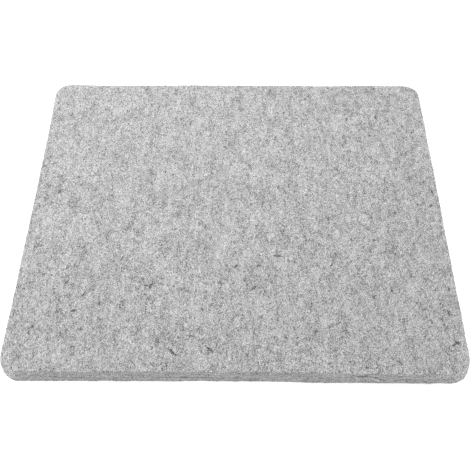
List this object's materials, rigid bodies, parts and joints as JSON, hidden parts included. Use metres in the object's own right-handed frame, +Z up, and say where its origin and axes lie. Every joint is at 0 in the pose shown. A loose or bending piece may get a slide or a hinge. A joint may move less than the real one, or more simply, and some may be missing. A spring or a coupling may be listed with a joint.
{
  "type": "felt ironing pad",
  "caption": "Flat square pad of grey heathered wool felt with rounded corners, built of needled felt plies, that lies on a table as a pressing surface for an iron.",
  "frame": {"origin": "middle of the face that lies on the table", "axes": "+Z up, out of the pressing face; +X and +Y along the pad's two equal sides, +Y away from the picture's viewer"},
  "size_m": [0.3, 0.3, 0.01],
  "materials": {
    "upper_felt": "matte",
    "middle_felt": "matte",
    "lower_felt": "matte"
  },
  "bodies": {
    "root": {"upper_ply": "upper_felt", "middle_ply": "middle_felt", "lower_ply": "lower_felt"}
  },
  "joints": []
}
